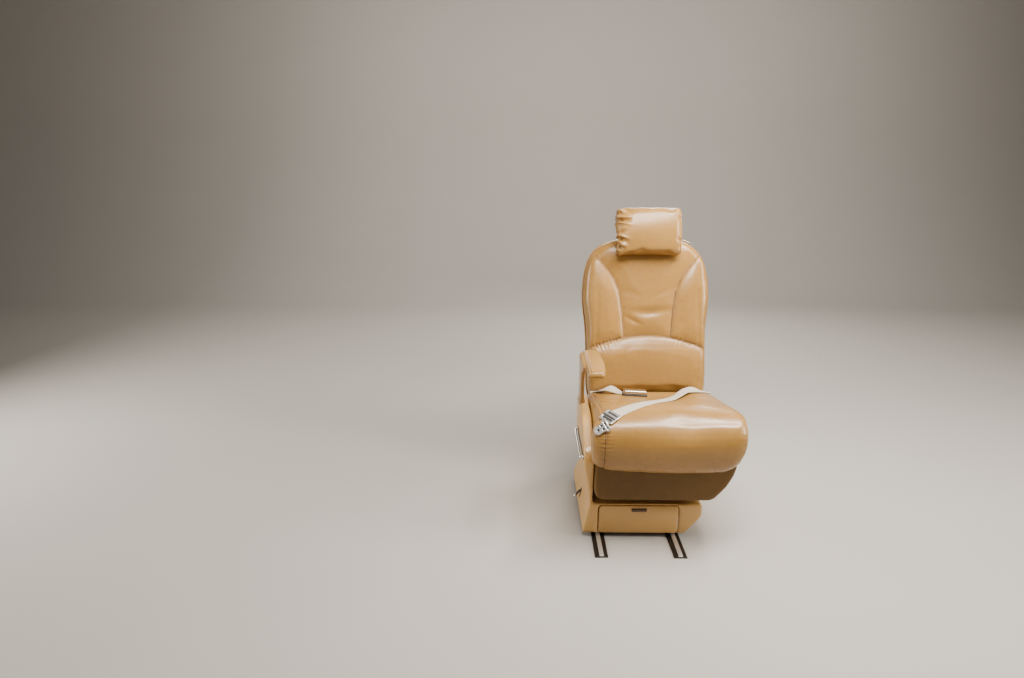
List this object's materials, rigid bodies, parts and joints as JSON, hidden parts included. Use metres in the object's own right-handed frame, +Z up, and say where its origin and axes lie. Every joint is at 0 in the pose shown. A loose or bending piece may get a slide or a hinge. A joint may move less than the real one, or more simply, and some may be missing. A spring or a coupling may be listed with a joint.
{
  "type": "business jet passenger seat",
  "caption": "Executive aircraft cabin chair on floor rails, with reclining back, sliding headrest, adjustable armrest and stowage drawer.",
  "frame": {"origin": "middle of the seat's footprint, on the floor under its rails", "axes": "+Z up; the sitter faces -Y along the rails; the armrest and aisle are on -X"},
  "size_m": [0.5413, 0.824, 1.0784],
  "materials": {
    "leather": "tan, semi-gloss, fine grain, sewn",
    "moulded_trim": "tan, satin moulded shell",
    "polished_metal": "polished",
    "frame_metal": "machined",
    "dark_plastic": "fine matt texture",
    "webbing": "woven polyester strap"
  },
  "bodies": {
    "rails": {"rail_aisle": "polished_metal", "rail_wall": "polished_metal"},
    "pedestal": {"side_beam_aisle": "frame_metal", "side_beam_wall": "frame_metal", "track_shoe_front_aisle": "frame_metal", "track_shoe_rear_aisle": "frame_metal", "track_shoe_front_wall": "frame_metal", "track_shoe_rear_wall": "frame_metal", "cross_beam_rear": "frame_metal", "base_shroud": "moulded_trim", "drawer_runner_aisle": "frame_metal", "drawer_runner_wall": "frame_metal", "pan_plate": "frame_metal", "seat_pan": "leather", "seat_cushion": "leather", "side_fairing": "leather", "release_bar": "polished_metal", "bar_bracket_front": "polished_metal", "bar_bracket_rear": "polished_metal", "track_lever": "polished_metal", "recline_bracket_aisle": "frame_metal", "recline_bracket_wall": "frame_metal", "belt_webbing_wall": "webbing", "belt_webbing_aisle": "webbing", "belt_buckle": "polished_metal", "belt_tongue": "polished_metal", "belt_anchor_aisle": "polished_metal", "belt_anchor_wall": "polished_metal"},
    "drawer": {"drawer_front": "moulded_trim", "drawer_box": "dark_plastic", "drawer_pull": "dark_plastic"},
    "back": {"back_lug_aisle": "frame_metal", "back_lug_wall": "frame_metal", "back_centre": "leather", "lumbar_pad": "leather", "bolster_aisle": "leather", "bolster_wall": "leather", "back_shell": "leather", "rear_panel": "leather", "harness_guide": "dark_plastic"},
    "headrest": {"headrest_pad": "leather", "headrest_rod_aisle": "polished_metal", "headrest_rod_wall": "polished_metal"},
    "armrest": {"armrest_pad": "leather", "armrest_post": "leather"}
  },
  "joints": [
    {"name": "track_slide", "type": "slide", "parent": "rails", "child": "pedestal", "axis": [0, -1, 0], "range_m": [-0.08, 0.1]},
    {"name": "recline", "type": "hinge", "parent": "pedestal", "child": "back", "pos_m": [0.0296, 0.131, 0.348], "axis": [-1, 0, 0], "range_deg": [0, 38]},
    {"name": "headrest_slide", "type": "slide", "parent": "back", "child": "headrest", "axis": [0, 0.284, 0.9588], "range_m": [0, 0.075]},
    {"name": "armrest_slide", "type": "slide", "parent": "pedestal", "child": "armrest", "axis": [0, 0, -1], "range_m": [0, 0.06]},
    {"name": "drawer_slide", "type": "slide", "parent": "pedestal", "child": "drawer", "axis": [0, -1, 0], "range_m": [0, 0.2]}
  ]
}
